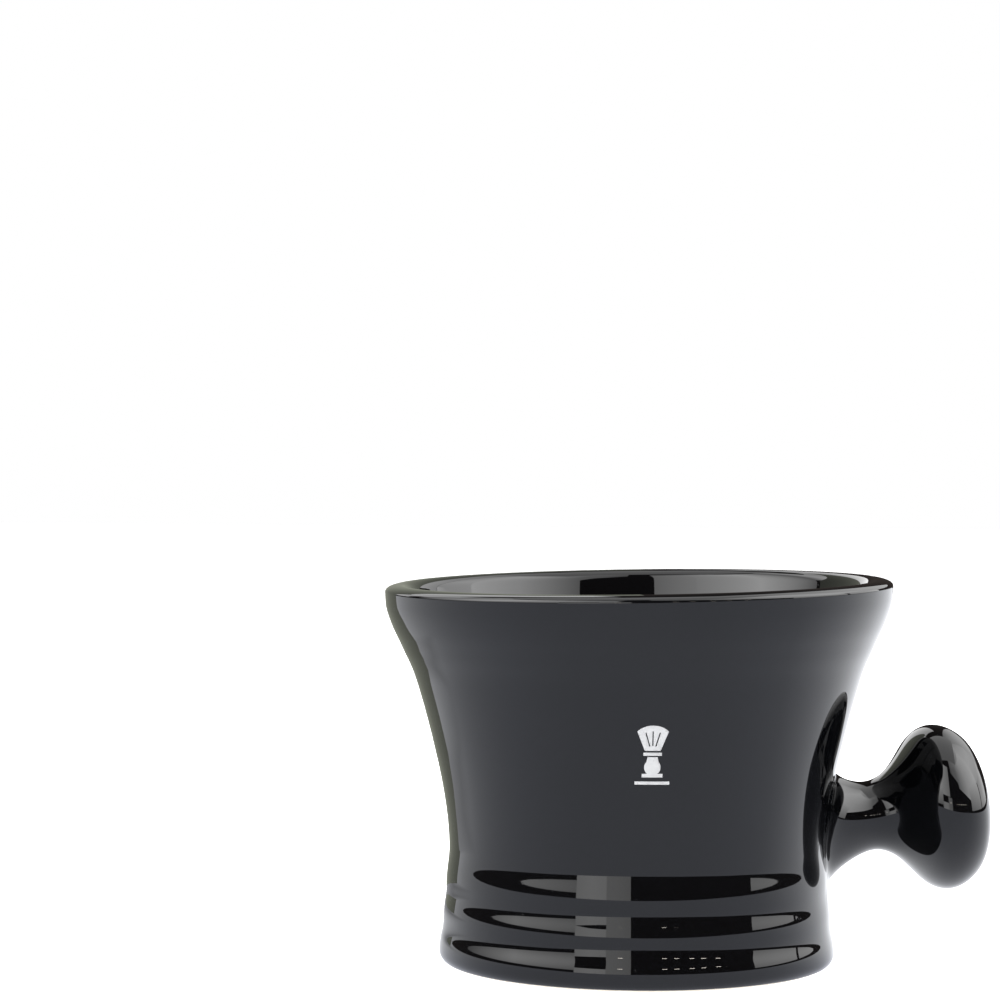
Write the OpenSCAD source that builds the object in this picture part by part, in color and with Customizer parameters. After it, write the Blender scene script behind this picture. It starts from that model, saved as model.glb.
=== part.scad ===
// Shaving bowl: a heavy glazed porcelain bowl with a mushroom knob for a handle.
// Frame: the origin is on the bowl's axis at table height, +Z is up and +X runs towards the knob.
// Every wall is drawn to its glazed surface first; the porcelain under it is that surface set back
// by the thickness of the glaze, so that coat and porcelain meet face to face.

/* [Bowl outside] */
// Height from the table to the crest of the lip
bowl_h = 90.5; // [86:0.5:96]
// Radius at the widest part of the lip
rim_r = 60.1; // [57:0.1:63]
// Radius at the waist, just above the shoulders
waist_r = 44.5; // [42:0.1:46]
// Height of the waist above the table
waist_z = 25.5; // [24:0.5:27]
// Radius of the wall at half height
belly_r = 47.9; // [46.5:0.1:49]
// Radius of the wall where the flare begins
flare_r = 52.75; // [51:0.05:54]
// Radius of the wall in the middle of the flare
collar_r = 56.65; // [55.5:0.05:57.5]
// Width of the round on the outer edge of the lip
lip_round = 3.6; // [3:0.1:4]
// Height of that round
lip_rise = 1.5; // [1:0.1:3]

/* [Shoulders above the foot] */
// How far the wall steps out at the upper shoulder
upper_step = 0.66; // [0:0.01:1]
// How far the wall steps out at the middle shoulder
middle_step = 0.66; // [0:0.01:1]
// How far the wall steps out at the lowest shoulder
lower_step = 0.98; // [0.5:0.01:2]

/* [Bowl inside] */
// Thickness of the side wall, glaze included
wall_t = 4.8; // [4:0.1:6]
// Radius of the round on the inner edge of the lip
lip_inner_round = 3; // [2.5:0.1:3.5]
// Height of the inside floor above the table
floor_z = 8.5; // [8:0.5:11]
// Radius of the flat part of the inside floor
floor_r = 20; // [15:1:24]

/* [Foot] */
// Radius of the outer edge of the ground ring that touches the table
foot_r = 43.9; // [42:0.1:44]
// Width of the ground ring that touches the table
foot_w = 2.6; // [2:0.1:3.5]
// Depth of the hollow under the bowl, inside the foot
foot_recess = 3; // [2:0.1:3.5]
// Radius of the hollow's ceiling
recess_r = 38.6; // [36:0.1:39]

/* [Knob handle] */
// Distance from the bowl's axis to the narrowest point of the stem
neck_x = 56.9; // [56:0.1:60]
// Height of that point
neck_z = 34.1; // [32:0.1:37]
// Upward tilt of the handle's axis
knob_tilt = 6.4; // [0:0.1:10]
// Radius of the stem at its narrowest
neck_r = 8.1; // [7.5:0.1:9]
// Radius of the knob at its widest
knob_r = 20.1; // [18:0.1:22]
// Distance along the axis from the neck to the top of the knob's dome
knob_l = 28; // [26:0.1:30]
// Radius of the fillet from the stem to the bowl
root_fillet = 10.9; // [9:0.1:12]
// Radius at which the stem's root stops widening, at the bowl's wall
root_r = 14.8; // [13:0.1:16]
// Thickness of the knob's cast shell
knob_shell = 4.8; // [4:0.1:6]
// Radius of the pouring hole along the stem
pour_r = 3; // [2.5:0.1:3.5]

/* [Glaze, slip and print] */
// Thickness of the glaze coat
glaze_t = 0.35; // [0.25:0.05:0.5]
// Height above the table at which the outer glaze stops
glaze_stop = 0.35; // [0.3:0.05:0.8]
// Thickness of the slip that joins the handle to the wall
slip_t = 0.5; // [0.3:0.1:1]
// Thickness of the fired-on print
print_t = 0.08; // [0.05:0.01:0.15]
// Height of the middle of the print above the table
print_z = 54; // [50:0.5:60]
// Height of the whole print
print_h = 13.6; // [11:0.1:16]
// Direction of the print, seen from above and counted from the handle
print_angle = -97; // [-105:1:-85]

/* [Hidden] */
$fn = 96;

porcelain = [0.90, 0.88, 0.84];
slip_grey = [0.80, 0.78, 0.74];
glaze_black = [0.03, 0.03, 0.035];
print_white = [0.82, 0.83, 0.84];

// Height and middle of the print as it is drawn, before it is scaled
print_design_h = 13.1;
print_design_mid = -0.95;

// Wall stations from the waist to the lip: [height, radius, slope of the radius]
lip_z = bowl_h - lip_rise;
wall_stations = [
    [waist_z, waist_r, 0],
    [0.552 * bowl_h, belly_r, 0.24],
    [0.751 * bowl_h, flare_r, 0.32],
    [0.851 * bowl_h, collar_r, 0.48],
    [0.94 * bowl_h, rim_r - 0.34, 0.25],
    [0.957 * bowl_h, rim_r - 0.15, 0.07],
    [lip_z, rim_r, 0.06]];

// Shoulders: [height of the middle, step, height over which the wall steps out]
// The lowest one is a broad step with a short steep one in its middle
shoulders = [
    [23.5, upper_step, 11],
    [14.7, middle_step, 8.2],
    [7, 0.75 * lower_step, 11],
    [6.5, 0.25 * lower_step, 5.3]];

// Smallest heights of the outer wall and of the round under it
foot_round_z = 2.7;
foot_wall_r = waist_r + upper_step + middle_step + lower_step;
bare_edge_r = foot_r + 0.8;
bare_edge_z = 0.15;

// Inside of the bowl: the round at the lip ends where it has the slope of the wall below it
lip_inner_slope = 0.35;
lip_inner_angle = 180 - atan(lip_inner_slope);
crest_r = rim_r - lip_round;
basin_z = 26;
basin_r = waist_r - wall_t - 0.5;
basin_stations = [
    [basin_z, basin_r, 0.02],
    [0.552 * bowl_h, belly_r - wall_t - 0.2, 0.24],
    [0.751 * bowl_h, flare_r - wall_t - 0.2, 0.33],
    [bowl_h - lip_inner_round * (1 - sin(lip_inner_angle)),
     crest_r + lip_inner_round * cos(lip_inner_angle), lip_inner_slope]];

// Knob outline from the fillet outwards: [distance along the axis, radius, direction of the outline]
root_end_angle = 45;
root_depth = 24;
knob_stations = [
    [0, neck_r, 0],
    [0.26 * knob_l, 0.605 * knob_r, 50],
    [0.39 * knob_l, 0.83 * knob_r, 52],
    [0.61 * knob_l, knob_r, 0],
    [0.85 * knob_l, 0.84 * knob_r, -43],
    [0.945 * knob_l, 0.60 * knob_r, -68],
    [knob_l, 0, -90]];

// Cubic between two stations whose third number is a slope
function cubic_at(a, b, z) =
    let (h = b[0] - a[0], t = (z - a[0]) / h, t2 = t * t, t3 = t2 * t)
    (2 * t3 - 3 * t2 + 1) * a[1] + (t3 - 2 * t2 + t) * h * a[2]
    + (3 * t2 - 2 * t3) * b[1] + (t3 - t2) * h * b[2];

// Radius at height z of a wall given by stations
function station_r(s, z, i = 0) =
    i >= len(s) - 2 || z <= s[i + 1][0] ? cubic_at(s[i], s[i + 1], z) : station_r(s, z, i + 1);

// Smooth step from 0 to 1, its slope a full wave of a cosine
function ease(t) = let (u = min(1, max(0, t))) u - sin(360 * u) / (2 * PI);

function shoulder_r(z, i = 0) =
    i == len(shoulders) ? 0
    : let (s = shoulders[i]) s[1] * ease((s[0] + s[2] / 2 - z) / s[2]) + shoulder_r(z, i + 1);

// Radius of the glazed outside at height z
function wall_r(z) = station_r(wall_stations, max(z, waist_z)) + shoulder_r(z);

// Curve between two knob stations whose third number is a direction in degrees
function span_points(a, b, n) =
    let (chord = norm([b[0] - a[0], b[1] - a[1]]))
    [for (i = [1:n]) let (t = i / n, t2 = t * t, t3 = t2 * t)
        (2 * t3 - 3 * t2 + 1) * [a[0], a[1]]
        + (t3 - 2 * t2 + t) * chord * [cos(a[2]), sin(a[2])]
        + (3 * t2 - 2 * t3) * [b[0], b[1]]
        + (t3 - t2) * chord * [cos(b[2]), sin(b[2])]];

// Points of a line moved sideways by d, to the left of the way the line runs
function shifted(p, d) =
    [for (i = [0:len(p) - 1])
        let (a = p[max(i - 1, 0)], b = p[min(i + 1, len(p) - 1)], way = (b - a) / norm(b - a))
        p[i] + d * [-way[1], way[0]]];

function reversed(p) = [for (i = [len(p) - 1:-1:0]) p[i]];

// Ends of a line of points, kept on the axis
function on_axis(p) = [for (q = p) [max(q[0], 0), q[1]]];

// Glazed outside, from the glaze line above the table up to the widest part of the lip
stop_angle = asin(1 - glaze_stop / foot_round_z);
outside_points = concat(
    [for (i = [0:5]) let (a = stop_angle * (1 - i / 6))
        [foot_r + (foot_wall_r - foot_r) * cos(a), foot_round_z * (1 - sin(a))]],
    [for (z = [foot_round_z:1:waist_z + 2]) [wall_r(z), z]],
    [for (z = [waist_z + 4:2.4:lip_z - 1]) [wall_r(z), z]]);

// Glazed lip and inside, from the widest part of the lip to the middle of the floor
inside_points = concat(
    [for (i = [0:7]) let (a = 90 * i / 8)
        [crest_r + lip_round * cos(a), lip_z + lip_rise * sin(a)]],
    [for (i = [0:7]) let (a = 90 + (lip_inner_angle - 90) * i / 7)
        [crest_r + lip_inner_round * cos(a), bowl_h - lip_inner_round * (1 - sin(a))]],
    [for (z = [basin_stations[3][0] - 2.4:-3:basin_z + 1]) [station_r(basin_stations, z), z]],
    [for (i = [0:11]) let (a = 90 * i / 11)
        [floor_r + (basin_r - floor_r) * cos(a), basin_z - (basin_z - floor_z) * sin(a)]],
    [[0, floor_z]]);

glazed_points = concat(outside_points, inside_points);
porcelain_points = on_axis(shifted(glazed_points, glaze_t));

// Knob outline in the handle's own frame: [distance along the axis, radius]
fillet_points = [for (i = [0:6]) let (a = root_end_angle * (1 - i / 7))
    [-root_fillet * sin(a), neck_r + root_fillet * (1 - cos(a))]];
root_points = [
    [-root_depth, root_r],
    [fillet_points[0][0] - (root_r - fillet_points[0][1]) / tan(root_end_angle), root_r]];
knob_points = concat(root_points, fillet_points, [[0, neck_r]],
    [for (i = [0:len(knob_stations) - 2]) each span_points(knob_stations[i], knob_stations[i + 1], 5)]);

// Shapes shared by several pieces

// The bowl as a solid of revolution inside its glazed outside, or set back from it by d
module bowl_block(d = 0) {
    rotate_extrude()
        polygon(concat([[0, -1]], [[foot_r, -1]], on_axis(shifted(outside_points, d)),
            [[crest_r, lip_z], [0, lip_z]]));
}

// Places something drawn along +Z on the handle's axis
module on_handle_axis() {
    translate([neck_x, 0, neck_z]) rotate([0, 90 - knob_tilt, 0]) children();
}

// The knob and stem as one solid, set back by d from the glazed outside
module knob_block(d = 0) {
    outline = on_axis([for (p = shifted(knob_points, -d)) [p[1], p[0]]]);
    on_handle_axis()
        rotate_extrude()
            polygon(concat(outline, [[0, outline[len(outline) - 1][1]], [0, -root_depth]]));
}

// Hollow left inside the knob when the slip was poured out, with the pouring hole along the stem
module knob_hollow() {
    inner = [for (p = shifted([for (q = knob_points) if (q[0] >= 0.2 * knob_l) q],
        -knob_shell - glaze_t)) [max(p[1], pour_r), p[0]]];
    on_handle_axis()
        rotate_extrude()
            polygon(concat([[0, -root_depth - 1], [pour_r, -root_depth - 1]],
                [for (p = inner) if (p[1] < knob_l - knob_shell - 1.2) p],
                [[0, knob_l - knob_shell - glaze_t]]));
}

module bowl_body() {
    color(porcelain)
        rotate_extrude()
            polygon(concat(
                [[0, foot_recess], [recess_r, foot_recess], [foot_r - foot_w - 0.5, 0.5],
                 [foot_r - foot_w, 0], [foot_r, 0], [bare_edge_r, bare_edge_z]],
                porcelain_points));
}

module knob_handle() {
    color(porcelain)
        difference() {
            knob_block(glaze_t);
            bowl_block(glaze_t - slip_t);
            knob_hollow();
        }
}

module handle_slip_joint() {
    color(slip_grey)
        intersection() {
            knob_block(glaze_t);
            difference() {
                bowl_block(glaze_t - slip_t);
                bowl_block(glaze_t);
            }
        }
}

// One unbroken coat over the outside, the lip, the inside and the knob
module glaze_coat() {
    color(glaze_black)
        union() {
            difference() {
                rotate_extrude()
                    polygon(concat(glazed_points, reversed(porcelain_points)));
                // the handle covers the wall from outside only, down to half the wall's thickness
                difference() {
                    knob_block(glaze_t);
                    bowl_block(wall_t / 2);
                }
            }
            difference() {
                knob_block();
                knob_block(glaze_t);
                bowl_block(glaze_t / 2);
            }
        }
}

// Glaze in the hollow inside the foot, apart from the outer coat because the ring is left bare
module underside_glaze() {
    side = [recess_r - (foot_r - foot_w - 0.5), foot_recess - 0.5];
    low = [foot_r - foot_w - 0.5, 0.5] + 0.3 * side;
    color(glaze_black)
        rotate_extrude()
            polygon([[0, foot_recess], [recess_r, foot_recess], low, low - [glaze_t, 0],
                [recess_r - 1.2 * glaze_t, foot_recess - glaze_t], [0, foot_recess - glaze_t]]);
}

// Generic mark: a shaving brush standing on its handle over a short bar
module print_outline() {
    scale(print_h / print_design_h) translate([0, -print_design_mid]) {
        brush_knot();
        brush_handle();
        translate([-3.9, -7.5]) square([7.8, 0.7]);
    }
}

// Bristles: a wedge under a round top, split into locks by thin gaps
module brush_knot() {
    difference() {
        intersection() {
            polygon([[-1.7, 0], [1.7, 0], [4.1, 6.3], [-4.1, 6.3]]);
            translate([0, 0.8]) circle(r = 4.8, $fn = 64);
        }
        for (side = [-1, 0, 1])
            rotate(-side * 16) translate([side * 0.35 - 0.13, 1.1]) square([0.26, 3.2]);
    }
}

// Handle of the brush: a collar, a waist, a round belly and a flat base
module brush_handle() {
    translate([-2, -1.1]) square([4, 0.7]);
    polygon([[-1.1, -1.4], [1.1, -1.4], [1.5, -3.2], [-1.5, -3.2]]);
    translate([0, -3.7]) circle(r = 1.8, $fn = 64);
    translate([-2.3, -5.9]) square([4.6, 0.8]);
}

module emblem_print() {
    color(print_white)
        intersection() {
            difference() {
                bowl_block(-print_t);
                bowl_block();
            }
            rotate([0, 0, print_angle]) translate([waist_r - 4, 0, print_z]) rotate([90, 0, 90])
                linear_extrude(height = rim_r - waist_r + 8) print_outline();
        }
}

bowl_body();
knob_handle();
handle_slip_joint();
glaze_coat();
underside_glaze();
emblem_print();
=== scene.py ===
import math

import bmesh
import bpy
import numpy as np
from mathutils import Euler, Matrix, Vector
from mathutils.geometry import tessellate_polygon

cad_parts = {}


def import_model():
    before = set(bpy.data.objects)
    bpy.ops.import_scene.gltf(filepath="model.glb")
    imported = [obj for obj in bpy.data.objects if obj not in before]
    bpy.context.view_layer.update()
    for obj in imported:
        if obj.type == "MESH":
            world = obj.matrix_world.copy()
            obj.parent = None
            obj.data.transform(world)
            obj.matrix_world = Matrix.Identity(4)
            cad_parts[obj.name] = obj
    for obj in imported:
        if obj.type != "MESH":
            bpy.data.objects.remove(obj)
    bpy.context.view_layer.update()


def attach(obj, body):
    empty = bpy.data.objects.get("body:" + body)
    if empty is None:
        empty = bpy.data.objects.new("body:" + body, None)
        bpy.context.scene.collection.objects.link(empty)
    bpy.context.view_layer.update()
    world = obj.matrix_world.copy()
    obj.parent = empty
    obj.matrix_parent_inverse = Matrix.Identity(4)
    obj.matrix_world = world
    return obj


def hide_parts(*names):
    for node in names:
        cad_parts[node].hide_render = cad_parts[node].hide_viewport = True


# The looks of the shaving bowl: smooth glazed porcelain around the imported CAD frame.
# Lengths are in millimetres, the numbers of part.scad, until a mesh is made.

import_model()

MM = 0.001

# Bowl
BOWL_H = 90.5
RIM_R = 60.1
WAIST_R = 44.5
WAIST_Z = 25.5
BELLY_R = 47.9
FLARE_R = 52.75
COLLAR_R = 56.65
LIP_ROUND = 3.6
LIP_RISE = 1.5
LIP_Z = BOWL_H - LIP_RISE
CREST_R = RIM_R - LIP_ROUND
WALL_T = 4.8
LIP_INNER_ROUND = 3.0
LIP_INNER_SLOPE = 0.35
LIP_INNER_ANGLE = math.pi - math.atan(LIP_INNER_SLOPE)
FLOOR_Z = 8.5
FLOOR_R = 20.0
BASIN_Z = 26.0
BASIN_R = WAIST_R - WALL_T - 0.5
SHOULDERS = ((23.5, 0.66, 11.0), (14.7, 0.66, 8.2), (7.0, 0.735, 11.0), (6.5, 0.245, 5.3))
WALL_STATIONS = (
    (WAIST_Z, WAIST_R, 0.0),
    (0.552 * BOWL_H, BELLY_R, 0.24),
    (0.751 * BOWL_H, FLARE_R, 0.32),
    (0.851 * BOWL_H, COLLAR_R, 0.48),
    (0.94 * BOWL_H, RIM_R - 0.34, 0.25),
    (0.957 * BOWL_H, RIM_R - 0.15, 0.07),
    (LIP_Z, RIM_R, 0.06),
)
BASIN_STATIONS = (
    (BASIN_Z, BASIN_R, 0.02),
    (0.552 * BOWL_H, BELLY_R - WALL_T - 0.2, 0.24),
    (0.751 * BOWL_H, FLARE_R - WALL_T - 0.2, 0.33),
    (BOWL_H - LIP_INNER_ROUND * (1 - math.sin(LIP_INNER_ANGLE)),
     CREST_R + LIP_INNER_ROUND * math.cos(LIP_INNER_ANGLE), LIP_INNER_SLOPE),
)

# Foot
FOOT_R = 43.9
FOOT_W = 2.6
FOOT_RECESS = 3.0
RECESS_R = 38.6
FOOT_ROUND_Z = 2.7
FOOT_WALL_R = WAIST_R + sum(s[1] for s in SHOULDERS)
GLAZE_STOP = 0.35

# Knob handle
NECK_X = 56.9
NECK_Z = 34.1
TILT = math.radians(6.4)
NECK_R = 8.1
KNOB_R = 20.1
KNOB_L = 28.0
KNOB_STATIONS = (
    (0.0, NECK_R, 0.0),
    (0.26 * KNOB_L, 0.605 * KNOB_R, 50.0),
    (0.39 * KNOB_L, 0.83 * KNOB_R, 52.0),
    (0.61 * KNOB_L, KNOB_R, 0.0),
    (0.85 * KNOB_L, 0.84 * KNOB_R, -43.0),
    (0.945 * KNOB_L, 0.60 * KNOB_R, -68.0),
    (KNOB_L, 0.0, -90.0),
)
AXIS = np.array((math.cos(TILT), 0.0, math.sin(TILT)))
AXIS_SIDE = np.array((0.0, 1.0, 0.0))
AXIS_UP = np.array((-math.sin(TILT), 0.0, math.cos(TILT)))
NECK = np.array((NECK_X, 0.0, NECK_Z))

# Fillet between the wall and the stem: where it leaves the wall, and how long it follows each
FOOT_MID_Z = 32.8
FILLET_REACH = 14.2
FILLET_REACH_LOW = 16.4
FILLET_GRIP_WALL = 3.2
FILLET_GRIP_STEM = 3.8

# Glaze and print
GLAZE_T = 0.35
GLAZE_ROLL = 0.5
PRINT_Z = 54.0
PRINT_H = 13.6
PRINT_ANGLE = math.radians(-97.0)
PRINT_DESIGN_H = 13.1
PRINT_DESIGN_MID = -0.95
PRINT_LIFT = 0.04
PRINT_T = 0.05

# The fired rim leans a little, higher on the handle's side
WARP_SLOPE = 0.0192
WARP_FROM_Z = 52.0

# Mesh density
OUTLINE_STEP = 0.1
EASED_REACH = 0.32
LIP_EASED_REACH = 0.14
KNOB_EASED_REACH = 0.5
WELD_M = 2e-7
COLUMNS = 192
HOLE_COLUMNS = 13
HOLE_LOW_Z = 11.5
HOLE_HIGH_Z = 54.5
PATCH_RINGS = 8
FILLET_RINGS = 18
KNOB_RINGS = 58


# ---------------------------------------------------------------- curves

def ease(t):
    t = np.clip(t, 0.0, 1.0)
    return t * t * (3 - 2 * t)


def cubic_at(a, b, z):
    """Radius between two stations whose third number is a slope."""
    h = b[0] - a[0]
    t = (z - a[0]) / h
    t2 = t * t
    t3 = t2 * t
    ends = (2 * t3 - 3 * t2 + 1) * a[1] + (3 * t2 - 2 * t3) * b[1]
    return ends + (t3 - 2 * t2 + t) * h * a[2] + (t3 - t2) * h * b[2]


def station_r(stations, z):
    for a, b in zip(stations, stations[1:]):
        if z <= b[0]:
            return cubic_at(a, b, z)
    return cubic_at(stations[-2], stations[-1], z)


def shoulder_ease(t):
    t = min(1.0, max(0.0, t))
    return t - math.sin(2 * math.pi * t) / (2 * math.pi)


def wall_r(z):
    """Radius of the glazed outside at height z, as part.scad draws it."""
    steps = sum(s[1] * shoulder_ease((s[0] + s[2] / 2 - z) / s[2]) for s in SHOULDERS)
    return station_r(WALL_STATIONS, max(z, WAIST_Z)) + steps


def span(a, b, count):
    """Curve between two knob stations whose third number is a direction in degrees."""
    chord = math.hypot(b[0] - a[0], b[1] - a[1])
    points = []
    for i in range(count):
        t = i / count
        t2 = t * t
        t3 = t2 * t
        point = []
        for axis, turn in ((0, math.cos), (1, math.sin)):
            ends = (2 * t3 - 3 * t2 + 1) * a[axis] + (3 * t2 - 2 * t3) * b[axis]
            start = (t3 - 2 * t2 + t) * chord * turn(math.radians(a[2]))
            end = (t3 - t2) * chord * turn(math.radians(b[2]))
            point.append(ends + start + end)
        points.append(point)
    return points


def arc(centre, radii, start, end, count):
    """Points of an elliptical arc, its end left out."""
    angles = start + (end - start) * np.arange(count) / count
    return [(centre[0] + radii[0] * math.cos(a), centre[1] + radii[1] * math.sin(a)) for a in angles]


def lengths(points):
    steps = np.linalg.norm(np.diff(points, axis=0), axis=1)
    return np.concatenate(([0.0], np.cumsum(steps)))


def resampled(points, at):
    along = lengths(points)
    return np.stack([np.interp(at, along, points[:, k]) for k in range(points.shape[1])], axis=1)


def softened(points, spacing, reach):
    """The line at an even spacing, with its corners eased over the given reach."""
    total = lengths(points)[-1]
    even = resampled(points, np.linspace(0.0, total, int(total / spacing) + 1))
    half = int(3 * reach / spacing)
    kernel = np.exp(-0.5 * (np.arange(-half, half + 1) * spacing / reach) ** 2)
    kernel /= kernel.sum()
    lead = 2 * even[0] - even[half:0:-1]
    tail = 2 * even[-1] - even[-2:-half - 2:-1]
    padded = np.concatenate((lead, even, tail))
    return np.stack([np.convolve(padded[:, k], kernel, "valid") for k in range(2)], axis=1)


def left_normals(points):
    """Unit normals to the left of the way a line runs."""
    way = np.gradient(points, axis=0)
    way /= np.linalg.norm(way, axis=1)[:, None]
    return np.stack((-way[:, 1], way[:, 0]), axis=1)


# ---------------------------------------------------------------- the bowl's outline

def glazed_outline():
    """Glazed outline [radius, height] from the glaze line above the table to the inside's middle."""
    stop = math.asin(1 - GLAZE_STOP / FOOT_ROUND_Z)
    foot_radii = (FOOT_WALL_R - FOOT_R, -FOOT_ROUND_Z)
    points = arc((FOOT_R, FOOT_ROUND_Z), foot_radii, stop, 0.0, 16)
    points += [(wall_r(z), z) for z in np.arange(FOOT_ROUND_Z, LIP_Z, 0.25)]
    points += arc((CREST_R, LIP_Z), (LIP_ROUND, LIP_RISE), 0.0, math.pi / 2, 24)
    inner_centre = (CREST_R, BOWL_H - LIP_INNER_ROUND)
    inner_radii = (LIP_INNER_ROUND, LIP_INNER_ROUND)
    points += arc(inner_centre, inner_radii, math.pi / 2, LIP_INNER_ANGLE, 24)
    top = BASIN_STATIONS[-1][0]
    points += [(station_r(BASIN_STATIONS, z), z) for z in np.arange(top, BASIN_Z, -0.5)]
    basin_radii = (BASIN_R - FLOOR_R, FLOOR_Z - BASIN_Z)
    points += arc((FLOOR_R, BASIN_Z), basin_radii, 0.0, math.pi / 2, 40)
    points += [(FLOOR_R, FLOOR_Z), (0.0, FLOOR_Z)]
    soft = softened(np.array(points), OUTLINE_STEP, EASED_REACH)
    crisp = softened(np.array(points), OUTLINE_STEP, LIP_EASED_REACH)
    line = np.where(soft[:, 1:] > LIP_Z - 10, crisp, soft)
    line[-1, 0] = 0.0
    return line


OUTLINE = glazed_outline()
OUTLINE_AT = lengths(OUTLINE)
CREST_AT = OUTLINE_AT[int(np.argmax(OUTLINE[:, 1]))]
WIDEST = int(np.argmax(OUTLINE[:, 0]))
WIDEST_AT = OUTLINE_AT[WIDEST]
WALL_TABLE = OUTLINE[:WIDEST]


def smooth_wall_r(z):
    return np.interp(z, WALL_TABLE[:, 1], WALL_TABLE[:, 0])


def ring_step(here):
    """Distance to the next ring: short at the glaze line, the lip and the shoulders."""
    if here < 0.6:
        return 0.12
    if abs(here - WIDEST_AT) < 1.0:
        return 0.2
    if here < CREST_AT and np.interp(here, OUTLINE_AT, OUTLINE[:, 1]) < 28:
        return 0.5
    if abs(here - CREST_AT) < 6.5:
        return 0.36
    return 1.4 if here < CREST_AT else 2.6


def outline_stops():
    """Where along the outline the mesh has its rings."""
    stops = [0.0]
    total = OUTLINE_AT[-1]
    while stops[-1] < total - 0.4:
        stops.append(min(stops[-1] + ring_step(stops[-1]), total))
    stops[-1] = total
    return np.array(stops)


def glaze_cover(along):
    """Share of the full glaze thickness, rising from nothing along the rolled lower edge."""
    t = np.clip(along / GLAZE_ROLL, 0.0, 1.0)
    return np.sqrt(1 - (1 - t) ** 2)


def waviness(angle, z):
    """Slow unevenness of a thrown and glazed wall, with a shallow ring below the lip."""
    hand = 0.016 * np.sin(3 * angle + 1.3 + z / 21) + 0.010 * np.sin(7 * angle - z / 8.0 + 0.4)
    ripple = 0.006 * np.sin(z / 1.9 + 1.5 * np.sin(angle)) * ease((z - 28) / 12)
    dent = 0.05 * np.sin((z - 72) / 7.0 * 2 * math.pi) * ease((z - 70) / 4) * ease((82 - z) / 4)
    return hand + ripple + dent


def warped(points):
    """The rim's lean, which dies out towards the waist."""
    share = ease((points[..., 2] - WARP_FROM_Z) / (LIP_Z - WARP_FROM_Z))
    moved = points.copy()
    moved[..., 2] += WARP_SLOPE * points[..., 0] * share
    return moved


def around(radius, angle, z):
    return np.stack((radius * np.cos(angle), radius * np.sin(angle), z + 0 * angle), axis=-1)


def on_wall(angle, z, lift=0.0):
    """Point of the glazed outside wall at an angle and a height."""
    return warped(around(smooth_wall_r(z) + waviness(angle, z) + lift, angle, z))


# ---------------------------------------------------------------- meshes

def mesh_object(name, points, faces, smooth=True):
    mesh = bpy.data.meshes.new(name)
    mesh.from_pydata((np.asarray(points) * MM).tolist(), [], faces)
    mesh.validate()
    if smooth:
        mesh.shade_smooth()
    mesh.update()
    obj = bpy.data.objects.new(name, mesh)
    bpy.context.scene.collection.objects.link(obj)
    return obj


def welded(obj, turn_out=True):
    """Joins points that coincide, and turns the faces outwards."""
    bm = bmesh.new()
    bm.from_mesh(obj.data)
    bmesh.ops.remove_doubles(bm, verts=bm.verts, dist=WELD_M)
    if turn_out:
        bmesh.ops.recalc_face_normals(bm, faces=bm.faces)
    bm.to_mesh(obj.data)
    bm.free()
    return obj


def revolved(name, line, columns):
    """Closed solid of revolution from an outline that starts and ends on the axis."""
    angles = 2 * math.pi * np.arange(columns) / columns
    rings = np.stack([around(p[0] + 0 * angles, angles, p[1] + 0 * angles) for p in line[1:-1]])
    points = warped(rings.reshape(-1, 3))
    ends = np.array([(0.0, 0.0, line[0][1]), (0.0, 0.0, line[-1][1])])
    count = len(line) - 2
    faces = ring_faces(count, columns)
    first = count * columns
    last = (count - 1) * columns
    for k in range(columns):
        n = (k + 1) % columns
        faces.append((first, n, k))
        faces.append((first + 1, last + k, last + n))
    return welded(mesh_object(name, np.concatenate((points, ends)), faces))


def ring_faces(rings, columns, start=0):
    faces = []
    for j in range(rings - 1):
        for k in range(columns):
            a = start + j * columns + k
            b = start + j * columns + (k + 1) % columns
            faces.append((a, b, b + columns, a + columns))
    return faces


def knob_line():
    """Knob outline [distance along the axis, radius] from the neck to the top of the dome. It runs on
    past the axis while it is eased, so that the dome stays round."""
    points = []
    for a, b in zip(KNOB_STATIONS, KNOB_STATIONS[1:]):
        points += span(a, b, 24)
    points.append(KNOB_STATIONS[-1][:2])
    mirrored = [(p[0], -p[1]) for p in points[-2:-40:-1]]
    line = softened(np.array(points + mirrored), OUTLINE_STEP, KNOB_EASED_REACH)
    keep = line[:, 1] >= 0
    line = line[keep]
    line[-1] = (line[-1][0], 0.0)
    return line


def fillet_reach(turn):
    low = np.clip(-np.sin(turn), 0.0, 1.0) ** 2
    return FILLET_REACH + (FILLET_REACH_LOW - FILLET_REACH) * low


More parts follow.
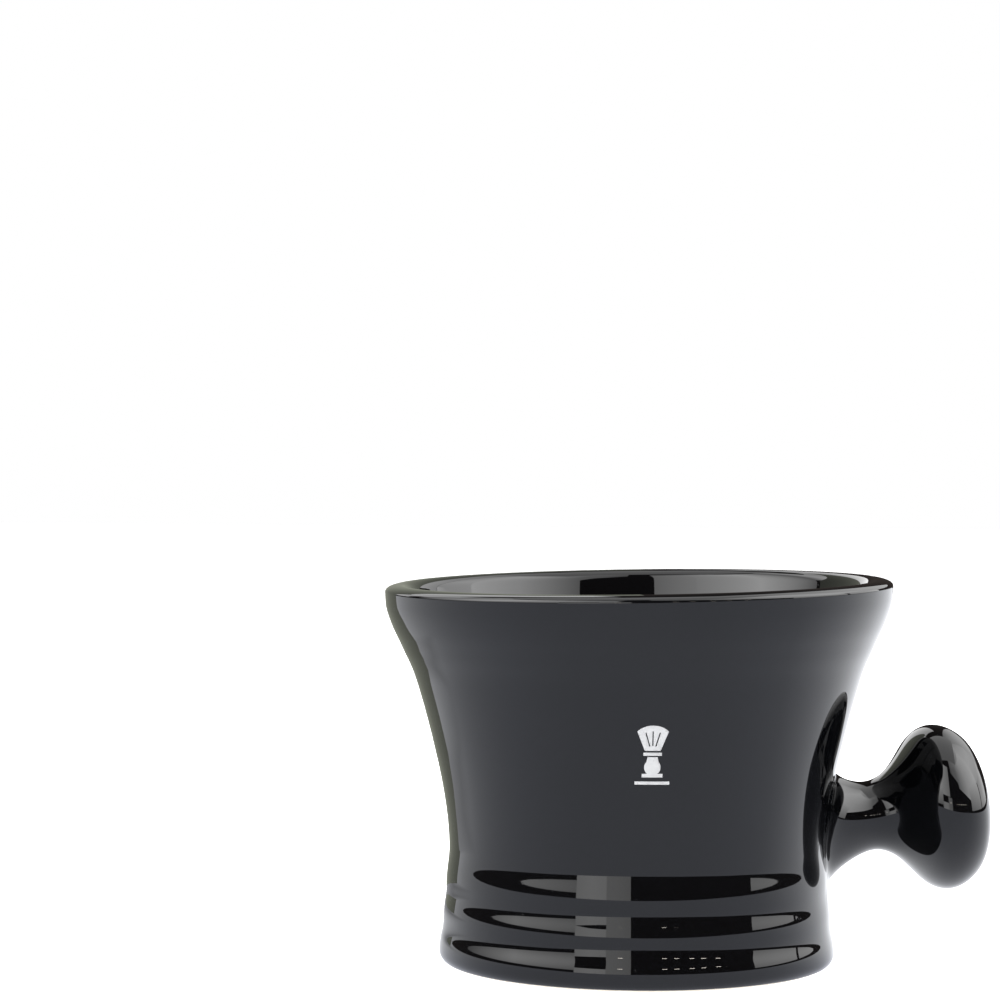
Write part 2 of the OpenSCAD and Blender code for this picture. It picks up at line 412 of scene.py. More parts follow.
def handle_columns(edge_angle, edge_z):
    """Rings of points from the edge of the hole in the wall, over the fillet, to the knob's dome."""
    middle_r = smooth_wall_r(FOOT_MID_Z)
    turn = np.arctan2(edge_z - FOOT_MID_Z, middle_r * edge_angle)
    reach = fillet_reach(turn)
    foot_angle = reach * np.cos(turn) / middle_r
    foot_z = FOOT_MID_Z + reach * np.sin(turn)
    rings = []
    for k in range(PATCH_RINGS):
        t = k / PATCH_RINGS
        rings.append(on_wall(edge_angle + (foot_angle - edge_angle) * t, edge_z + (foot_z - edge_z) * t))
    foot = on_wall(foot_angle, foot_z)
    inwards = on_wall(foot_angle * 0.98, FOOT_MID_Z + 0.98 * (foot_z - FOOT_MID_Z)) - foot
    inwards /= np.linalg.norm(inwards, axis=1)[:, None]
    outwards = np.outer(np.cos(turn), AXIS_SIDE) + np.outer(np.sin(turn), AXIS_UP)
    neck = NECK + NECK_R * outwards
    grip_wall = foot + FILLET_GRIP_WALL * inwards
    grip_stem = neck - FILLET_GRIP_STEM * AXIS
    for k in range(FILLET_RINGS):
        t = k / FILLET_RINGS
        s = 1 - t
        rings.append(s**3 * foot + 3 * s * s * t * grip_wall + 3 * s * t * t * grip_stem + t**3 * neck)
    line = knob_line()
    stops = np.linspace(0.0, lengths(line)[-1], KNOB_RINGS + 1)
    for along, radius in resampled(line, stops)[:-1]:
        rings.append(NECK + along * AXIS + radius * outwards)
    dome = NECK + line[-1][0] * AXIS
    return relaxed(np.stack(rings)), dome


def relaxed(rings):
    """Eases the rings into each other along the handle, so that the gloss runs over the joints."""
    for _ in range(10):
        middle = 0.5 * rings[1:-1] + 0.25 * (rings[:-2] + rings[2:])
        rings[3:-1] = middle[2:]
    return rings


def glaze_surface():
    """Outer surface of the glaze in rings, with the outline they follow, each ring's share of the full
    thickness, and the rings below and above the hole for the handle."""
    stops = outline_stops()
    line = resampled(OUTLINE, stops)
    cover = glaze_cover(stops)
    line += left_normals(line) * (GLAZE_T * (1 - cover))[:, None]
    on_outside = stops < OUTLINE_AT[WIDEST]
    angles = 2 * math.pi * np.arange(COLUMNS) / COLUMNS
    rings = []
    for (radius, z), outside in zip(line[:-1], on_outside):
        shift = waviness(angles, z) * (1.0 if outside else 0.6)
        fade = ease(radius / FLOOR_R) * ease((LIP_Z - z) / 6 + 0.35) * ease((z - 2) / 6)
        rings.append(around(radius + shift * fade, angles, z + 0 * angles))
    low = int(np.argmin(np.where(on_outside, abs(line[:, 1] - HOLE_LOW_Z), 1e9)))
    high = int(np.argmin(np.where(on_outside, abs(line[:, 1] - HOLE_HIGH_Z), 1e9)))
    return warped(np.stack(rings)), line, cover, low, high


def hole_edge(low, high):
    """Ring and column of each point around the hole, counter-clockwise seen from the handle."""
    side = HOLE_COLUMNS
    edge = [(high, c) for c in range(side, -side, -1)]
    edge += [(j, -side) for j in range(high, low, -1)]
    edge += [(low, c) for c in range(-side, side)]
    edge += [(j, side) for j in range(low, high)]
    return edge


def bowl_faces(count, low, high):
    """Faces between the bowl's rings, but for the hole that the handle fills."""
    faces = []
    for j in range(count - 1):
        for k in range(COLUMNS):
            column = k if k < COLUMNS // 2 else k - COLUMNS
            if low <= j < high and -HOLE_COLUMNS <= column < HOLE_COLUMNS:
                continue
            n = (k + 1) % COLUMNS
            faces.append((j * COLUMNS + k, j * COLUMNS + n, (j + 1) * COLUMNS + n, (j + 1) * COLUMNS + k))
    return faces


def handle_faces(edge_index, rings, base, dome_index):
    """Faces from the edge of the hole over the handle's rings to the middle of the dome."""
    loop = len(edge_index)
    faces = []
    for i in range(loop):
        n = (i + 1) % loop
        faces.append((edge_index[i], edge_index[n], base + n, base + i))
    faces += ring_faces(rings, loop, base)
    faces += fan(base + (rings - 1) * loop, loop, dome_index)
    return faces


def fan(first, count, middle):
    return [(first + i, first + (i + 1) % count, middle) for i in range(count)]


def without_spares(points, share, faces):
    """The same surface without the points that no face uses."""
    used = np.zeros(len(points), bool)
    used[np.unique(np.concatenate([np.array(f) for f in faces]))] = True
    remap = np.cumsum(used) - 1
    return points[used], share[used], [tuple(int(remap[v]) for v in f) for f in faces]


def glaze_shell():
    """One closed surface over the outside, the lip, the inside and the knob: its points, their shares
    of the glaze thickness, its faces, the handle's rings and the middle of the knob's dome."""
    points, line, cover, low, high = glaze_surface()
    count = len(points)
    edge = hole_edge(low, high)
    edge_index = [j * COLUMNS + c % COLUMNS for j, c in edge]
    edge_angle = np.array([2 * math.pi * c / COLUMNS for _, c in edge])
    edge_z = np.array([line[j, 1] for j, _ in edge])
    rings, dome = handle_columns(edge_angle, edge_z)
    flat = points.reshape(-1, 3)
    handle = rings[1:].reshape(-1, 3)
    dome_index = len(flat) + len(handle)
    faces = bowl_faces(count, low, high)
    faces += handle_faces(edge_index, len(rings) - 1, len(flat), dome_index)
    faces += fan((count - 1) * COLUMNS, COLUMNS, dome_index + 1)
    everything = np.concatenate((flat, handle, [dome, (0.0, 0.0, FLOOR_Z)]))
    share = np.concatenate((np.repeat(cover[:count], COLUMNS), np.ones(len(handle) + 2)))
    return *without_spares(everything, share, faces), rings, dome


def outward_normals(points, faces):
    """Unit normals of a closed surface's points, found by Blender."""
    mesh = bpy.data.meshes.new("normals")
    mesh.from_pydata(points.tolist(), [], faces)
    bm = bmesh.new()
    bm.from_mesh(mesh)
    bmesh.ops.recalc_face_normals(bm, faces=bm.faces)
    bm.normal_update()
    normals = np.array([v.normal[:] for v in bm.verts])
    order = [[v.index for v in f.verts] for f in bm.faces]
    bm.free()
    bpy.data.meshes.remove(mesh)
    return normals, order


def glazed_pieces():
    points, share, faces, rings, dome = glaze_shell()
    normals, faces = outward_normals(points, faces)
    crest = int(np.argmax(points[:, 2]))
    if normals[crest, 2] < 0:
        normals = -normals
        faces = [f[::-1] for f in faces]
    inner = points - normals * (GLAZE_T * share)[:, None]
    count = len(points)
    both = faces + [[v + count for v in f[::-1]] for f in faces]
    shell = mesh_object("glazed_shell", np.concatenate((points, inner)), both)
    return welded(shell, turn_out=False), rings, dome


def porcelain_outline():
    """Porcelain [radius, height]: the glazed outline set back, and the foot that is left bare."""
    along = outline_stops()[::2]
    along = np.append(along[along < OUTLINE_AT[-1] - 1], OUTLINE_AT[-1])
    back = OUTLINE + left_normals(OUTLINE) * GLAZE_T
    upper = np.stack([np.interp(along, OUTLINE_AT, back[:, k]) for k in range(2)], axis=1)
    upper[-1, 0] = 0.0
    ring_in = FOOT_R - FOOT_W
    foot = [(0.0, FOOT_RECESS), (RECESS_R * 0.5, FOOT_RECESS), (RECESS_R - 1, FOOT_RECESS)]
    foot += [(RECESS_R - 0.3, FOOT_RECESS - 0.1), (RECESS_R, FOOT_RECESS - 0.4)]
    foot += [(ring_in - 0.55, 0.6), (ring_in - 0.3, 0.22), (ring_in, 0.05), (ring_in + 0.35, 0.0)]
    foot += [(FOOT_R - 0.5, 0.0), (FOOT_R, 0.03), (FOOT_R + 0.45, 0.1), (FOOT_R + 0.85, 0.2)]
    return np.array(foot + upper.tolist())


def porcelain_bowl():
    return revolved("porcelain_bowl", porcelain_outline(), 144)


def porcelain_knob(rings, dome):
    """The knob and stem under the glaze, closed where the slip holds them to the wall."""
    body = rings[PATCH_RINGS + 2:]
    middle = body.mean(axis=1)
    shrink = np.linalg.norm(body - middle[:, None, :], axis=2, keepdims=True)
    inset = GLAZE_T + 0.1
    body = middle[:, None, :] + (body - middle[:, None, :]) * (1 - inset / shrink.clip(1.0))
    count, loop = body.shape[:2]
    points = body.reshape(-1, 3).tolist()
    points.append((dome - inset * AXIS).tolist())
    points.append((body[0].mean(axis=0) - 1.0 * AXIS).tolist())
    faces = ring_faces(count, loop)
    for i in range(loop):
        n = (i + 1) % loop
        faces.append(((count - 1) * loop + i, (count - 1) * loop + n, count * loop))
        faces.append((n, i, count * loop + 1))
    return welded(mesh_object("porcelain_knob", points, faces))


def slip_pad():
    """Thin pad of slip between the wall's porcelain and the handle's, out of sight."""
    count = 48
    turns = 2 * math.pi * np.arange(count) / count
    rings = []
    middle_r = smooth_wall_r(FOOT_MID_Z)
    for reach, lift in ((3.2, -GLAZE_T), (9.8, -GLAZE_T), (9.8, 0.15), (3.2, 0.15)):
        angle = reach * np.cos(turns) / middle_r
        rings.append(on_wall(angle, FOOT_MID_Z + reach * np.sin(turns), lift))
    faces = [tuple(v % (4 * count) for v in f) for f in ring_faces(5, count)]
    return welded(mesh_object("slip_pad", np.concatenate(rings), faces, smooth=False))


def underside_pool():
    """Glaze in the hollow inside the foot, with its edge drawn up the side."""
    side_low = (FOOT_R - FOOT_W - 1.2, 1.45)
    line = [(0.0, FOOT_RECESS + 0.1), (RECESS_R - 1, FOOT_RECESS + 0.1), (RECESS_R + 0.2, FOOT_RECESS - 0.2)]
    line += [side_low, (side_low[0] - 0.22, side_low[1] + 0.02), (side_low[0] - 0.36, side_low[1] + 0.2)]
    line += [(RECESS_R - 0.5, FOOT_RECESS - 0.75), (RECESS_R - 1.0, FOOT_RECESS - 0.55)]
    line += [(RECESS_R - 2.0, FOOT_RECESS - 0.42)]
    for radius in np.linspace(RECESS_R - 4.0, 4.0, 14):
        line.append((radius, FOOT_RECESS - GLAZE_T - 0.03 * math.sin(radius / 3.1)))
    line.append((0.0, FOOT_RECESS - GLAZE_T))
    return revolved("underside_pool", np.array(line), 128)


# ---------------------------------------------------------------- printed mark

def mirrored_outline(half):
    """Closed outline from half widths [width, height] listed from the bottom up."""
    right = [(w, y) for w, y in half]
    return right + [(-w, y) for w, y in reversed(half) if w > 0]


def knot_shapes():
    """Bristles of the brush: a wedge under a round top, with thin gaps between the locks."""
    half = []
    for y in np.linspace(0.0, 5.6, 57):
        wedge = 1.7 + 2.4 * y / 6.3
        round_top = math.sqrt(max(4.8**2 - (y - 0.8) ** 2, 0.0))
        half.append((min(wedge, round_top), y))
    gaps = []
    for side in (-1, 0, 1):
        turn = math.radians(-16 * side)
        left = side * 0.35 - 0.13
        corners = ((left, 1.1), (left + 0.26, 1.1), (left + 0.26, 4.3), (left, 4.3))
        gaps.append([(x * math.cos(turn) - y * math.sin(turn), x * math.sin(turn) + y * math.cos(turn))
                     for x, y in corners])
    return [mirrored_outline(half)] + gaps


def handle_half(y):
    widths = []
    if -3.2 <= y <= -1.4:
        widths.append(1.1 + 0.4 * (-1.4 - y) / 1.8)
    if abs(y + 3.7) < 1.8:
        widths.append(math.sqrt(1.8**2 - (y + 3.7) ** 2))
    if y <= -5.1:
        widths.append(2.3)
    return max(widths)


def handle_shape():
    """Handle of the brush: a waist, a round belly and a flat base in one outline."""
    stops = np.concatenate((np.linspace(-5.9, -5.1, 3), np.linspace(-5.099, -1.4, 75)))
    return mirrored_outline([(handle_half(y), y) for y in stops])


def box_shape(width, low, tall):
    return [(width / 2, low), (width / 2, low + tall), (-width / 2, low + tall), (-width / 2, low)]


def flat_mark():
    """The mark before it is bent to the wall: a brush over a short bar, cut into small faces."""
    groups = [knot_shapes(), [box_shape(4.0, -1.1, 0.7)], [handle_shape()], [box_shape(7.8, -7.5, 0.7)]]
    bm = bmesh.new()
    for group in groups:
        loops = [[Vector((x, 0.0, y)) for x, y in shape] for shape in group]
        verts = [bm.verts.new(p) for loop in loops for p in loop]
        for triangle in tessellate_polygon(loops):
            bm.faces.new([verts[i] for i in triangle])
    for x in np.arange(-3.9, 4.0, 0.6):
        cut(bm, (x, 0, 0), (1, 0, 0))
    for y in np.arange(-7.3, 6.0, 0.9):
        cut(bm, (0, 0, y), (0, 0, 1))
    return bm


def emblem():
    """Generic mark of a shaving brush, fired onto the wall as a thin film."""
    bm = flat_mark()
    scale = PRINT_H / PRINT_DESIGN_H
    for v in bm.verts:
        x = v.co.x * scale
        z = PRINT_Z + (v.co.z - PRINT_DESIGN_MID) * scale
        angle = PRINT_ANGLE + x / smooth_wall_r(PRINT_Z)
        v.co = Vector(on_wall(np.array(angle), np.array(z), PRINT_LIFT) * MM)
    bmesh.ops.recalc_face_normals(bm, faces=bm.faces)
    mesh = bpy.data.meshes.new("emblem")
    bm.to_mesh(mesh)
    bm.free()
    if mesh.polygons[0].normal.y > 0:
        mesh.flip_normals()
    mesh.shade_smooth()
    obj = bpy.data.objects.new("emblem", mesh)
    bpy.context.scene.collection.objects.link(obj)
    thick = obj.modifiers.new("thickness", "SOLIDIFY")
    thick.thickness = PRINT_T * MM
    thick.offset = -1.0
    return obj


def cut(bm, point, normal):
    geometry = bm.verts[:] + bm.edges[:] + bm.faces[:]
    bmesh.ops.bisect_plane(bm, geom=geometry, plane_co=point, plane_no=normal, dist=1e-5)


# ---------------------------------------------------------------- materials

class Nodes:
    """Small helper for writing a material's nodes one per line."""

    def __init__(self, name):
        self.material = bpy.data.materials.new(name)
        self.material.use_nodes = True
        self.tree = self.material.node_tree
        self.tree.nodes.clear()

    def add(self, kind, **settings):
        node = self.tree.nodes.new(kind)
        for key, value in settings.items():
            setattr(node, key, value)
        return node

    def link(self, source, target):
        self.tree.links.new(source, target)

    def noise(self, coordinates, scale, detail=2.0, roughness=0.5):
        """Noise over places in metres: a scale of 1000 gives spots about a millimetre apart."""
        node = self.add("ShaderNodeTexNoise")
        node.inputs["Scale"].default_value = scale
        node.inputs["Detail"].default_value = detail
        node.inputs["Roughness"].default_value = roughness
        self.link(coordinates, node.inputs["Vector"])
        return node.outputs["Fac"]

    def remap(self, value, low, high, to_low, to_high):
        node = self.add("ShaderNodeMapRange")
        node.inputs["From Min"].default_value = low
        node.inputs["From Max"].default_value = high
        node.inputs["To Min"].default_value = to_low
        node.inputs["To Max"].default_value = to_high
        self.link(value, node.inputs["Value"])
        return node.outputs["Result"]

    def maths(self, operation, a, b):
        node = self.add("ShaderNodeMath", operation=operation)
        for socket, value in zip(node.inputs, (a, b)):
            if isinstance(value, (int, float)):
                socket.default_value = value
            else:
                self.link(value, socket)
        return node.outputs["Value"]

    def distance(self, value, middle):
        return self.maths("ABSOLUTE", self.maths("SUBTRACT", value, middle), 0.0)

    def mix(self, share, a, b):
        node = self.add("ShaderNodeMix", data_type="RGBA")
        self.link(share, node.inputs["Factor"])
        for socket, value in ((node.inputs[6], a), (node.inputs[7], b)):
            if isinstance(value, tuple):
                socket.default_value = (*value, 1.0)
            else:
                self.link(value, socket)
        return node.outputs[2]

    def bump(self, height, distance, strength=1.0, normal=None):
        node = self.add("ShaderNodeBump")
        node.inputs["Strength"].default_value = strength
        node.inputs["Distance"].default_value = distance
        self.link(height, node.inputs["Height"])
        if normal is not None:
            self.link(normal, node.inputs["Normal"])
        return node.outputs["Normal"]

    def surface(self, **values):
        shader = self.add("ShaderNodeBsdfPrincipled")
        for key, value in values.items():
            socket = shader.inputs[key.replace("_", " ")]
            if isinstance(value, (int, float)):
                socket.default_value = value
            elif isinstance(value, tuple):
                socket.default_value = (*value, 1.0)
            else:
                self.link(value, socket)
        out = self.add("ShaderNodeOutputMaterial")
        self.link(shader.outputs["BSDF"], out.inputs["Surface"])
        return self.material


def object_place(nodes):
    coordinates = nodes.add("ShaderNodeTexCoord").outputs["Object"]
    parts = nodes.add("ShaderNodeSeparateXYZ")
    nodes.link(coordinates, parts.inputs["Vector"])
    return coordinates, parts.outputs["Z"]


def black_glaze():
    """Deep black gloss glaze: slow waves, faint specks, and a brown breaking edge above the foot."""
    nodes = Nodes("black_glaze")
    place, height = object_place(nodes)
    slow = nodes.noise(place, 45.0, 1.0, 0.4)
    peel = nodes.noise(place, 420.0, 2.0, 0.5)
    specks = nodes.noise(place, 1500.0, 0.0)
    pin = nodes.remap(specks, 0.84, 0.90, 0.0, 1.0)
    waves = nodes.bump(slow, 0.00003)
    fine = nodes.bump(peel, 0.0000008, 1.0, waves)
    pits = nodes.bump(nodes.maths("MULTIPLY", pin, -1.0), 0.000003, 1.0, fine)
    edge_wobble = nodes.remap(nodes.noise(place, 180.0), 0.3, 0.7, -0.00012, 0.00012)
    edge_height = nodes.maths("ADD", height, edge_wobble)
    edge = nodes.remap(edge_height, 0.0007, 0.0002, 0.0, 1.0)
    tone = nodes.mix(slow, (0.0008, 0.0009, 0.0012), (0.0014, 0.0015, 0.0019))
    colour = nodes.mix(edge, tone, (0.055, 0.030, 0.017))
    rough = nodes.remap(nodes.noise(place, 90.0, 3.0), 0.3, 0.7, 0.012, 0.03)
    rough = nodes.maths("ADD", rough, nodes.maths("MULTIPLY", pin, 0.2))
    return nodes.surface(Base_Color=colour, Roughness=rough, IOR=1.5, Normal=pits)


def bare_porcelain():
    """Unglazed porcelain: warm white with a fine grain, greyed where the ring rubs the table."""
    nodes = Nodes("porcelain")
    place, height = object_place(nodes)
    cloud = nodes.noise(place, 160.0, 4.0, 0.6)
    grain = nodes.noise(place, 5200.0, 2.0, 0.6)
    iron = nodes.remap(nodes.noise(place, 2100.0, 0.0), 0.76, 0.80, 0.0, 0.6)
    tone = nodes.mix(cloud, (0.66, 0.61, 0.53), (0.78, 0.74, 0.66))
    speckled = nodes.mix(iron, tone, (0.20, 0.14, 0.09))
    worn = nodes.remap(height, 0.0004, 0.0, 0.0, 0.35)
    rubbed = nodes.maths("MULTIPLY", worn, nodes.remap(cloud, 0.35, 0.65, 0.3, 1.0))
    colour = nodes.mix(rubbed, speckled, (0.42, 0.40, 0.38))
    rough = nodes.remap(grain, 0.2, 0.8, 0.62, 0.85)
    return nodes.surface(Base_Color=colour, Roughness=rough, IOR=1.5, Normal=nodes.bump(grain, 0.00003))


def fired_slip():
    """Casting slip: a little greyer and coarser than the porcelain."""
    nodes = Nodes("slip")
    place, _ = object_place(nodes)
    cloud = nodes.noise(place, 300.0, 4.0, 0.6)
    grain = nodes.noise(place, 3600.0, 2.0, 0.6)
    colour = nodes.mix(cloud, (0.55, 0.52, 0.46), (0.68, 0.65, 0.58))
    return nodes.surface(Base_Color=colour, Roughness=0.8, IOR=1.5, Normal=nodes.bump(grain, 0.00004))


def fired_print():
    """Pale overglaze print: a silvery film, thin and broken here and there."""
    nodes = Nodes("print")
    place, _ = object_place(nodes)
    cloud = nodes.noise(place, 700.0, 3.0, 0.6)
    grain = nodes.noise(place, 5200.0, 1.0)
    thin = nodes.remap(nodes.noise(place, 2600.0, 2.0, 0.6), 0.66, 0.74, 0.0, 0.8)
    tone = nodes.mix(cloud, (0.30, 0.305, 0.315), (0.40, 0.405, 0.415))
    colour = nodes.mix(thin, tone, (0.06, 0.06, 0.065))
    rough = nodes.remap(grain, 0.2, 0.8, 0.25, 0.45)
    return nodes.surface(Base_Color=colour, Roughness=rough, IOR=1.5, Normal=nodes.bump(grain, 0.000006))


# ---------------------------------------------------------------- studio

CAMERA_PLACE = (-158.4, -814.7, 131.7)
CAMERA_BEARING = math.radians(-101.0)
CAMERA_DOWN = 1.53
CAMERA_TURN = 2.273 - 11.0
CAMERA_ROLL = 0.32
CARD_EYE_Z = 15.0
CARD_DISTANCE = 1300
FLOOR_SHINE = 0.75
WHITE = (1.0, 1.0, 1.0)
WARM = (1.0, 0.93, 0.82)
LAMP_BEARINGS = (-9, 16, 23, 32, 39, 48)


def camera():
    data = bpy.data.cameras.new("camera")
    data.lens = 126.0
    data.sensor_width = 36.0
    data.clip_start = 0.01
    data.clip_end = 50.0
    obj = bpy.data.objects.new("camera", data)
    look = Euler((math.radians(90 - CAMERA_DOWN), 0.0, math.radians(CAMERA_TURN))).to_matrix()
    roll = Matrix.Rotation(math.radians(CAMERA_ROLL), 3, "Z")
    obj.rotation_euler = (look @ roll).to_euler()
    obj.location = Vector(CAMERA_PLACE) * MM
    bpy.context.scene.collection.objects.link(obj)
    bpy.context.scene.camera = obj
    return obj


def glow(name, colour, strength):
    """Emitting material of one strength."""
    nodes = Nodes(name)
    emission = nodes.add("ShaderNodeEmission")
    emission.inputs["Color"].default_value = (*colour, 1.0)
    emission.inputs["Strength"].default_value = strength
    out = nodes.add("ShaderNodeOutputMaterial")
    nodes.link(emission.outputs["Emission"], out.inputs["Surface"])
    return nodes.material


def graded_glow(name, colour, grades):
    """Emitting material for a card: its strengths at the left end, the middle and the right end,
    after the share of them that is left at the lower edge."""
    low, left, middle, right = grades
    nodes = Nodes(name)
    place = nodes.add("ShaderNodeTexCoord").outputs["UV"]
    parts = nodes.add("ShaderNodeSeparateXYZ")
    nodes.link(place, parts.inputs["Vector"])
    to_left = nodes.remap(parts.outputs["X"], 0.0, 0.5, left - middle, 0.0)
    to_right = nodes.remap(parts.outputs["X"], 0.5, 1.0, 0.0, right - middle)
    across = nodes.maths("ADD", nodes.maths("ADD", to_left, to_right), middle)
    rise = nodes.remap(parts.outputs["Y"], 0.0, 0.25, low, 1.0)
    emission = nodes.add("ShaderNodeEmission")
    emission.inputs["Color"].default_value = (*colour, 1.0)
    nodes.link(nodes.maths("MULTIPLY", across, rise), emission.inputs["Strength"])
    out = nodes.add("ShaderNodeOutputMaterial")
    nodes.link(emission.outputs["Emission"], out.inputs["Surface"])
    return nodes.material


def card(name, heights, bearings, grades, distance=CARD_DISTANCE, colour=WHITE):
    """Curved studio card round the bowl: bearings in degrees from the camera's side, + to its right;
    heights are its lower edge at the left and at the right end and its upper edge, as elevations in
    degrees seen from the bowl."""
    first, last, top = (distance * math.tan(math.radians(h)) + CARD_EYE_Z for h in heights)
    left, right = bearings
    steps = max(2, int((right - left) / 4))
    points = []
    for k in range(steps + 1):
        angle = math.radians(left + (right - left) * k / steps) + CAMERA_BEARING
        bottom = first + (last - first) * k / steps
        points.append((distance * math.cos(angle), distance * math.sin(angle), bottom))
        points.append((distance * math.cos(angle), distance * math.sin(angle), top))
    faces = [(2 * k, 2 * k + 2, 2 * k + 3, 2 * k + 1) for k in range(steps)]
    obj = mesh_object(name, points, faces, smooth=False)
    uv = obj.data.uv_layers.new(name="UVMap")
    for loop in obj.data.loops:
        k, upper = divmod(loop.vertex_index, 2)
        uv.data[loop.index].uv = (k / steps, upper)
    obj.data.materials.append(graded_glow(name, colour, grades))
    only_lights(obj)
    return obj


def only_lights(obj):
    """Seen in the gloss but not by the camera, and stage only."""
    obj.visible_camera = False
    obj.visible_shadow = False


def block(name, low, high, tall, colour, strength):
    """Upright glowing block on the table, squared up with the camera."""
    points = [(x, y, z) for z in (0.0, tall) for x, y in
              ((low[0], low[1]), (high[0], low[1]), (high[0], high[1]), (low[0], high[1]))]
    faces = [(0, 1, 5, 4), (1, 2, 6, 5), (2, 3, 7, 6), (3, 0, 4, 7), (4, 5, 6, 7)]
    obj = mesh_object(name, points, faces, smooth=False)
    obj.rotation_euler = (0.0, 0.0, CAMERA_BEARING + math.pi / 2)
    obj.data.materials.append(glow(name, colour, strength))
    only_lights(obj)
    return obj


def floor_material():
    """White table top as the camera sees it: lit by the cards, with the bowl's soft shadow."""
    nodes = Nodes("floor")
    place = nodes.add("ShaderNodeTexCoord").outputs["Object"]
    tone = nodes.mix(nodes.noise(place, 60.0, 3.0), (0.80, 0.80, 0.80), (0.83, 0.83, 0.83))
    return nodes.surface(Base_Color=tone, Roughness=0.8, Specular_IOR_Level=0.2,
                         Emission_Color=(1.0, 1.0, 1.0), Emission_Strength=0.8)


def mirrored_floor_material():
    """The same table as the gloss sees it: bluish, brighter behind the bowl, most of all to the
    right, and shaded in front of the olive card."""
    nodes = Nodes("mirrored_floor")
    place = nodes.add("ShaderNodeTexCoord").outputs["Object"]
    way = nodes.add("ShaderNodeVectorMath", operation="NORMALIZE")
    nodes.link(place, way.inputs[0])
    parts = nodes.add("ShaderNodeSeparateXYZ")
    nodes.link(way.outputs["Vector"], parts.inputs["Vector"])
    spot = nodes.add("ShaderNodeSeparateXYZ")
    nodes.link(place, spot.inputs["Vector"])
    back = nodes.remap(parts.outputs["Y"], -0.9, 0.5, 0.0, 0.4)
    far_back = nodes.remap(parts.outputs["Y"], -0.3, 0.8, 0.0, 0.8)
    right = nodes.remap(parts.outputs["X"], -0.2, 0.7, 0.0, 1.0)
    extra = nodes.maths("ADD", back, nodes.maths("MULTIPLY", far_back, right))
    shine = nodes.maths("MULTIPLY", nodes.maths("ADD", extra, 1.0), FLOOR_SHINE)
    aside = nodes.remap(nodes.distance(spot.outputs["X"], -0.075), 0.06, 0.115, 0.35, 1.0)
    before = nodes.remap(nodes.distance(spot.outputs["Y"], 0.128), 0.02, 0.08, 0.35, 1.0)
    shine = nodes.maths("MULTIPLY", shine, nodes.maths("MAXIMUM", aside, before))
    towards_back = nodes.remap(parts.outputs["Y"], -0.5, 0.5, 0.0, 1.0)
    tint = nodes.mix(towards_back, (0.955, 1.0, 1.13), (0.98, 1.0, 1.04))
    return nodes.surface(Base_Color=(0.15, 0.15, 0.16), Roughness=0.9, Specular_IOR_Level=0.0,
                         Emission_Color=tint, Emission_Strength=shine)


def floor():
    """The table twice: one for the camera, and one that only shows in the gloss, as far as it is lit."""
    seen = table("floor_seen", (-3000, -3000), (3000, 3000), 0.0)
    seen.visible_glossy = False
    mirrored = table("floor_mirrored", (-1300, -1000), (1300, 1500), -0.2)
    mirrored.visible_camera = False
    mirrored.visible_diffuse = False
    for obj, material in ((seen, floor_material()), (mirrored, mirrored_floor_material())):
        obj.data.materials.append(material)


def table(name, low, high, z):
    """Flat rectangle squared up with the camera."""
    corners = [(low[0], low[1], z), (high[0], low[1], z), (high[0], high[1], z), (low[0], high[1], z)]
    obj = mesh_object(name, corners, [(0, 1, 2, 3)], smooth=False)
    obj.rotation_euler = (0.0, 0.0, CAMERA_BEARING + math.pi / 2)
    return obj


def world():
    """White behind everything the camera sees, and a dark room in the gloss."""
    scene_world = bpy.data.worlds.new("studio")
    scene_world.use_nodes = True
    tree = scene_world.node_tree
    tree.nodes.clear()
    seen = tree.nodes.new("ShaderNodeBackground")
    seen.inputs["Color"].default_value = (1.0, 1.0, 1.0, 1.0)
    room = tree.nodes.new("ShaderNodeBackground")
    room.inputs["Color"].default_value = (0.05, 0.042, 0.038, 1.0)
    path = tree.nodes.new("ShaderNodeLightPath")
    mix = tree.nodes.new("ShaderNodeMixShader")
    out = tree.nodes.new("ShaderNodeOutputWorld")
    tree.links.new(path.outputs["Is Camera Ray"], mix.inputs["Fac"])
    tree.links.new(room.outputs["Background"], mix.inputs[1])
    tree.links.new(seen.outputs["Background"], mix.inputs[2])
    tree.links.new(mix.outputs["Shader"], out.inputs["Surface"])
    bpy.context.scene.world = scene_world


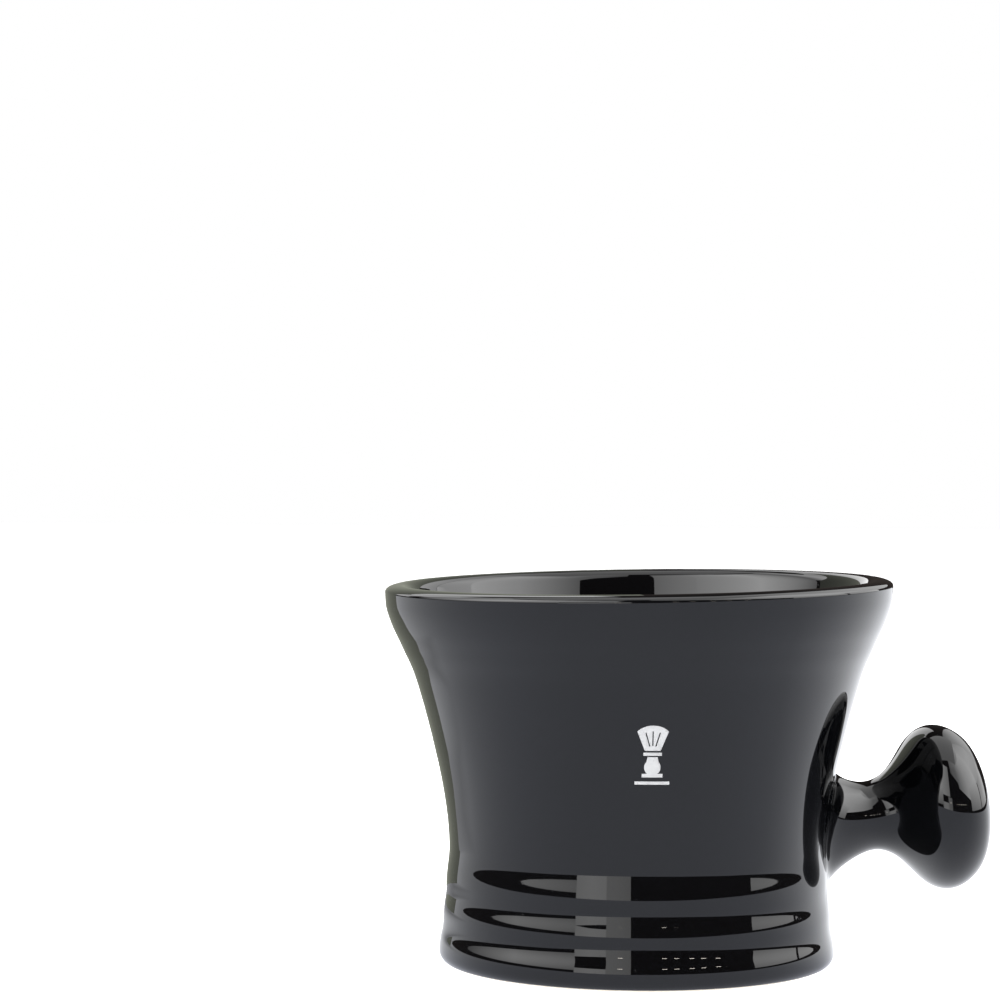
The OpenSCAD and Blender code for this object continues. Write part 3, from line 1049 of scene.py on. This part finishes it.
def studio():
    """What the gloss reflects: soft boxes left and right, a diffuser, lamps in a dark room, pale
    backdrops, a ceiling, and an olive block behind the bowl."""
    card("softbox_left", (3.3, 3.3, 60), (-114, -35), (0.40, 1.2, 6.2, 4.0))
    card("softbox_left_high", (17, 17, 60), (-35, -10), (1.0, 3.8, 3.2, 2.5))
    card("softbox_left_back", (26, 26, 60), (-138, -114), (1.0, 2.8, 3.0, 1.2))
    card("diffuser_left", (-2, -2, 8), (-35, -17), (1.0, 2.5, 2.8, 2.6), distance=1250)
    card("diffuser_left_tall", (-2, -2, 16), (-17, -3), (1.0, 1.9, 1.8, 1.6), distance=1250)
    card("softbox_right", (1.5, 1.5, 60), (71, 105), (0.42, 4.9, 5.3, 5.2))
    card("softbox_right_high", (30, 12, 60), (34, 71), (1.0, 1.9, 3.5, 4.9))
    card("softbox_right_middle", (52, 37, 60), (6, 34), (1.0, 1.2, 1.7, 1.9))
    card("softbox_right_back_low", (1.5, 1.5, 19), (107, 135), (0.75, 2.8, 2.7, 2.6))
    card("softbox_right_back", (19, 19, 60), (105, 135), (0.75, 4.9, 3.8, 2.6))
    card("softbox_right_top", (60, 60, 79), (6, 150), (1.0, 1.6, 3.4, 4.6))
    card("backdrop_right", (14, 14, 60), (135, 165), (0.8, 2.2, 1.8, 1.2), distance=1500)
    card("backdrop_left", (7, 7, 45), (183, 235), (1.0, 1.9, 2.0, 2.2), distance=1500)
    for bearing in LAMP_BEARINGS:
        edges = (bearing - 1.4, bearing + 1.4)
        card("lamp", (9.0, 9.0, 9.4), edges, (1.0, 30.0, 30.0, 30.0), distance=1200, colour=WARM)
    block("olive_card", (-171, 128), (0, 152), 178, (0.352, 0.366, 0.305), 1.0)
    ceiling = table("ceiling", (-700, -500), (700, 900), 1500.0)
    ceiling.data.materials.append(glow("ceiling", WHITE, 1.6))
    only_lights(ceiling)


# ---------------------------------------------------------------- the object

def dress(obj, material, slot, *nodes):
    obj.data.materials.clear()
    obj.data.materials.append(material)
    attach(obj, "root")
    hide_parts(*nodes)


def build():
    glaze = black_glaze()
    porcelain = bare_porcelain()
    shell, rings, dome = glazed_pieces()
    dress(shell, glaze, "black_glaze", "glaze_coat")
    dress(porcelain_bowl(), porcelain, "porcelain", "bowl_body")
    dress(porcelain_knob(rings, dome), porcelain, "porcelain", "knob_handle")
    dress(slip_pad(), fired_slip(), "slip", "handle_slip_joint")
    dress(underside_pool(), glaze, "black_glaze", "underside_glaze")
    dress(emblem(), fired_print(), "print", "emblem_print")


camera()
build()
world()
floor()
studio()
bpy.context.scene.view_settings.view_transform = "Standard"

bpy.context.view_layer.update()
